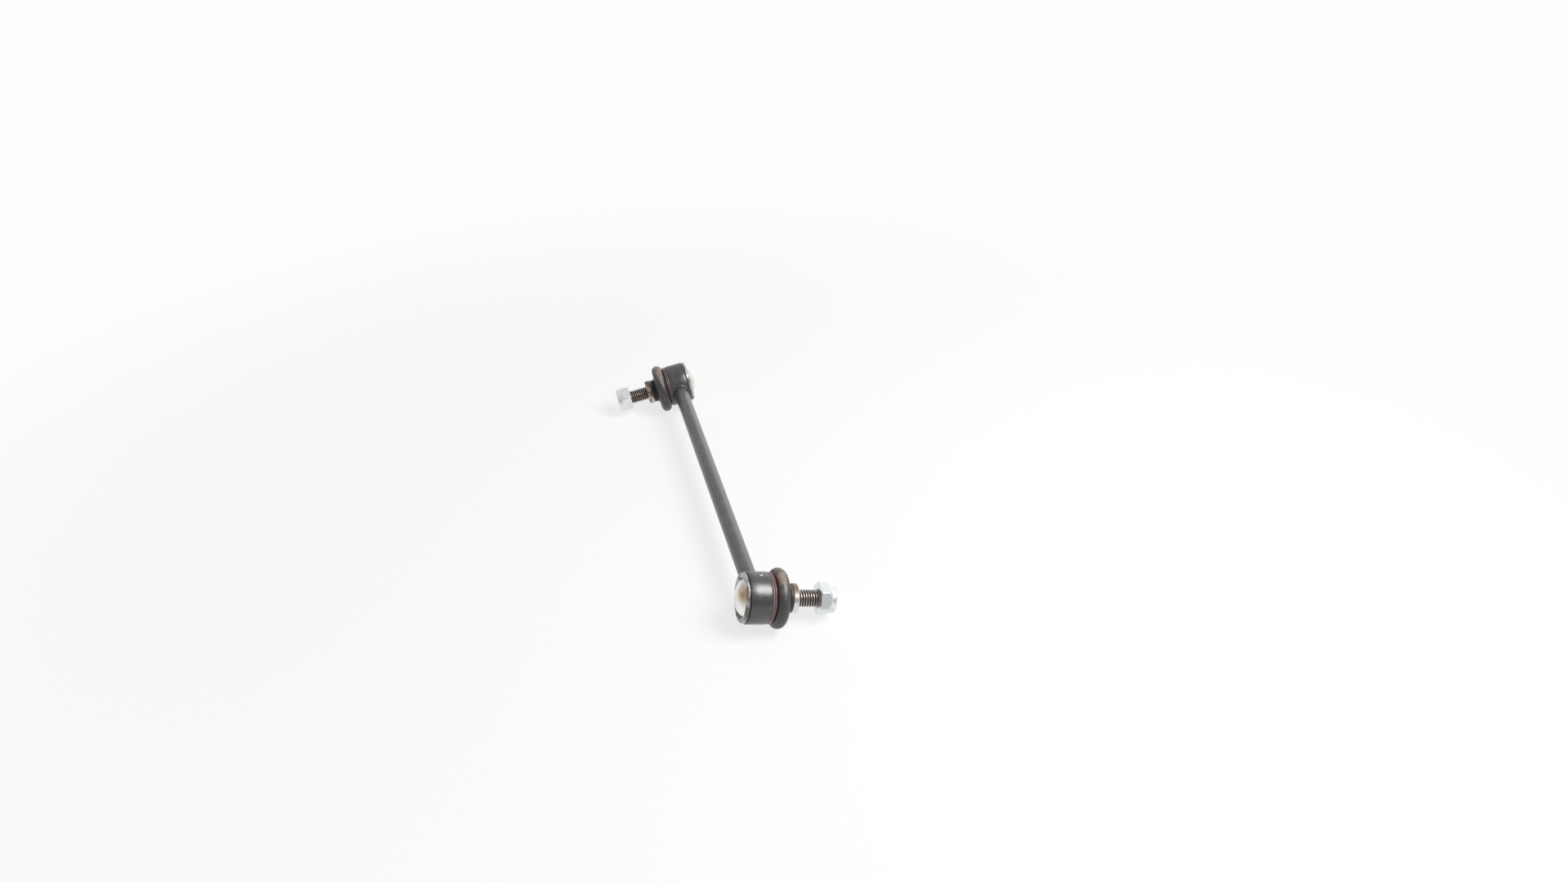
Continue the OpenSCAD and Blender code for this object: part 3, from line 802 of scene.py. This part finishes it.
# Studio: a white table with no visible edge, one large soft lamp high on the right and in
# front, a weak one low behind on the right, and a camera that looks down along the rod.
TABLE_HALF, TABLE_TOP = 9, -0.0003
LAMP_AIM = Vector((0, -0.05, 0.02))
WALL_LIGHT = 0.272
FOCAL_PIXELS, FRAME_PIXELS, SENSOR = 1452.0, 1920, 36
table_white = bpy.data.materials.new("table_white")
table_white.use_nodes = True
tree = table_white.node_tree
tree.nodes.clear()
out = tree.nodes.new("ShaderNodeOutputMaterial")
lit = tree.nodes.new("ShaderNodeBsdfDiffuse")
lit.inputs["Color"].default_value = (0.88, 0.87, 0.87, 1)
shown = tree.nodes.new("ShaderNodeEmission")
shown.inputs["Color"].default_value = (0.985, 0.985, 0.985, 1)
path = tree.nodes.new("ShaderNodeLightPath")
place = tree.nodes.new("ShaderNodeTexCoord")
away = tree.nodes.new("ShaderNodeVectorMath")
away.operation = "LENGTH"
wire(tree, place.outputs["Object"], away.inputs[0])
fading = spread(tree, away.outputs["Value"], 0.18, 0.7, to_low=0.77, to_high=1.0)
seen = sums(tree, "MULTIPLY", path.outputs["Is Camera Ray"], fading)
shiny = sums(tree, "MAXIMUM", path.outputs["Is Glossy Ray"], path.outputs["Is Transmission Ray"])
share = sums(tree, "MAXIMUM", seen, shiny)
both = tree.nodes.new("ShaderNodeMixShader")
wire(tree, share, both.inputs[0])
wire(tree, lit.outputs[0], both.inputs[1])
wire(tree, shown.outputs[0], both.inputs[2])
wire(tree, both.outputs[0], out.inputs["Surface"])
table_mesh = bpy.data.meshes.new("table")
corners = [(x * TABLE_HALF, y * TABLE_HALF, TABLE_TOP) for x, y in ((-1, -1), (1, -1), (1, 1), (-1, 1))]
table_mesh.from_pydata(corners, [], [(0, 1, 2, 3)])
table_mesh.materials.append(table_white)
table = bpy.data.objects.new("table", table_mesh)
bpy.context.scene.collection.objects.link(table)

for name, at, size, power in (("lamp_front_right", (0.60, -0.45, 0.98), 0.66, 15.6),
                              ("lamp_back_right", (0.72, 1.0, 0.34), 0.9, 1.8)):
    lamp = bpy.data.lights.new(name, "AREA")
    lamp.shape = "SQUARE"
    lamp.size = size
    lamp.energy = power
    stand = bpy.data.objects.new(name, lamp)
    stand.location = at
    stand.rotation_euler = (LAMP_AIM - Vector(at)).to_track_quat("-Z", "Y").to_euler()
    bpy.context.scene.collection.objects.link(stand)

room = bpy.data.worlds.new("room")
room.use_nodes = True
tree = room.node_tree
tree.nodes.clear()
out = tree.nodes.new("ShaderNodeOutputWorld")
walls = tree.nodes.new("ShaderNodeBackground")
walls.inputs["Color"].default_value = (1, 1, 1, 1)
path = tree.nodes.new("ShaderNodeLightPath")
facing = tree.nodes.new("ShaderNodeTexCoord")
ways = tree.nodes.new("ShaderNodeSeparateXYZ")
wire(tree, facing.outputs["Generated"], ways.inputs[0])
mirrored = spread(tree, ways.outputs["Y"], -0.9, 0.3, to_low=0.4, to_high=0.8)
shiny = sums(tree, "MAXIMUM", path.outputs["Is Glossy Ray"], path.outputs["Is Transmission Ray"])
lighting = sums(tree, "MULTIPLY", sums(tree, "SUBTRACT", 1.0, shiny), WALL_LIGHT)
level = sums(tree, "ADD", sums(tree, "MULTIPLY", shiny, mirrored), lighting)
wire(tree, sums(tree, "MAXIMUM", level, path.outputs["Is Camera Ray"]), walls.inputs["Strength"])
wire(tree, walls.outputs[0], out.inputs["Surface"])
bpy.context.scene.world = room
bpy.context.scene.view_settings.view_transform = "Standard"

lens = bpy.data.cameras.new("camera")
lens.sensor_width = SENSOR
lens.lens = SENSOR * FOCAL_PIXELS / FRAME_PIXELS
lens.clip_start = 0.01
camera = bpy.data.objects.new("camera", lens)
right = Vector((0.97123, -0.23815, -0.00100))
down = Vector((-0.12091, -0.48946, -0.86360))
ahead = Vector((0.20517, 0.83888, -0.50417))
stance = Matrix.Translation((-0.11153, -0.65895, 0.43522))
camera.matrix_world = stance @ Matrix((right, -down, -ahead)).transposed().to_4x4()
bpy.context.scene.collection.objects.link(camera)
bpy.context.scene.camera = camera
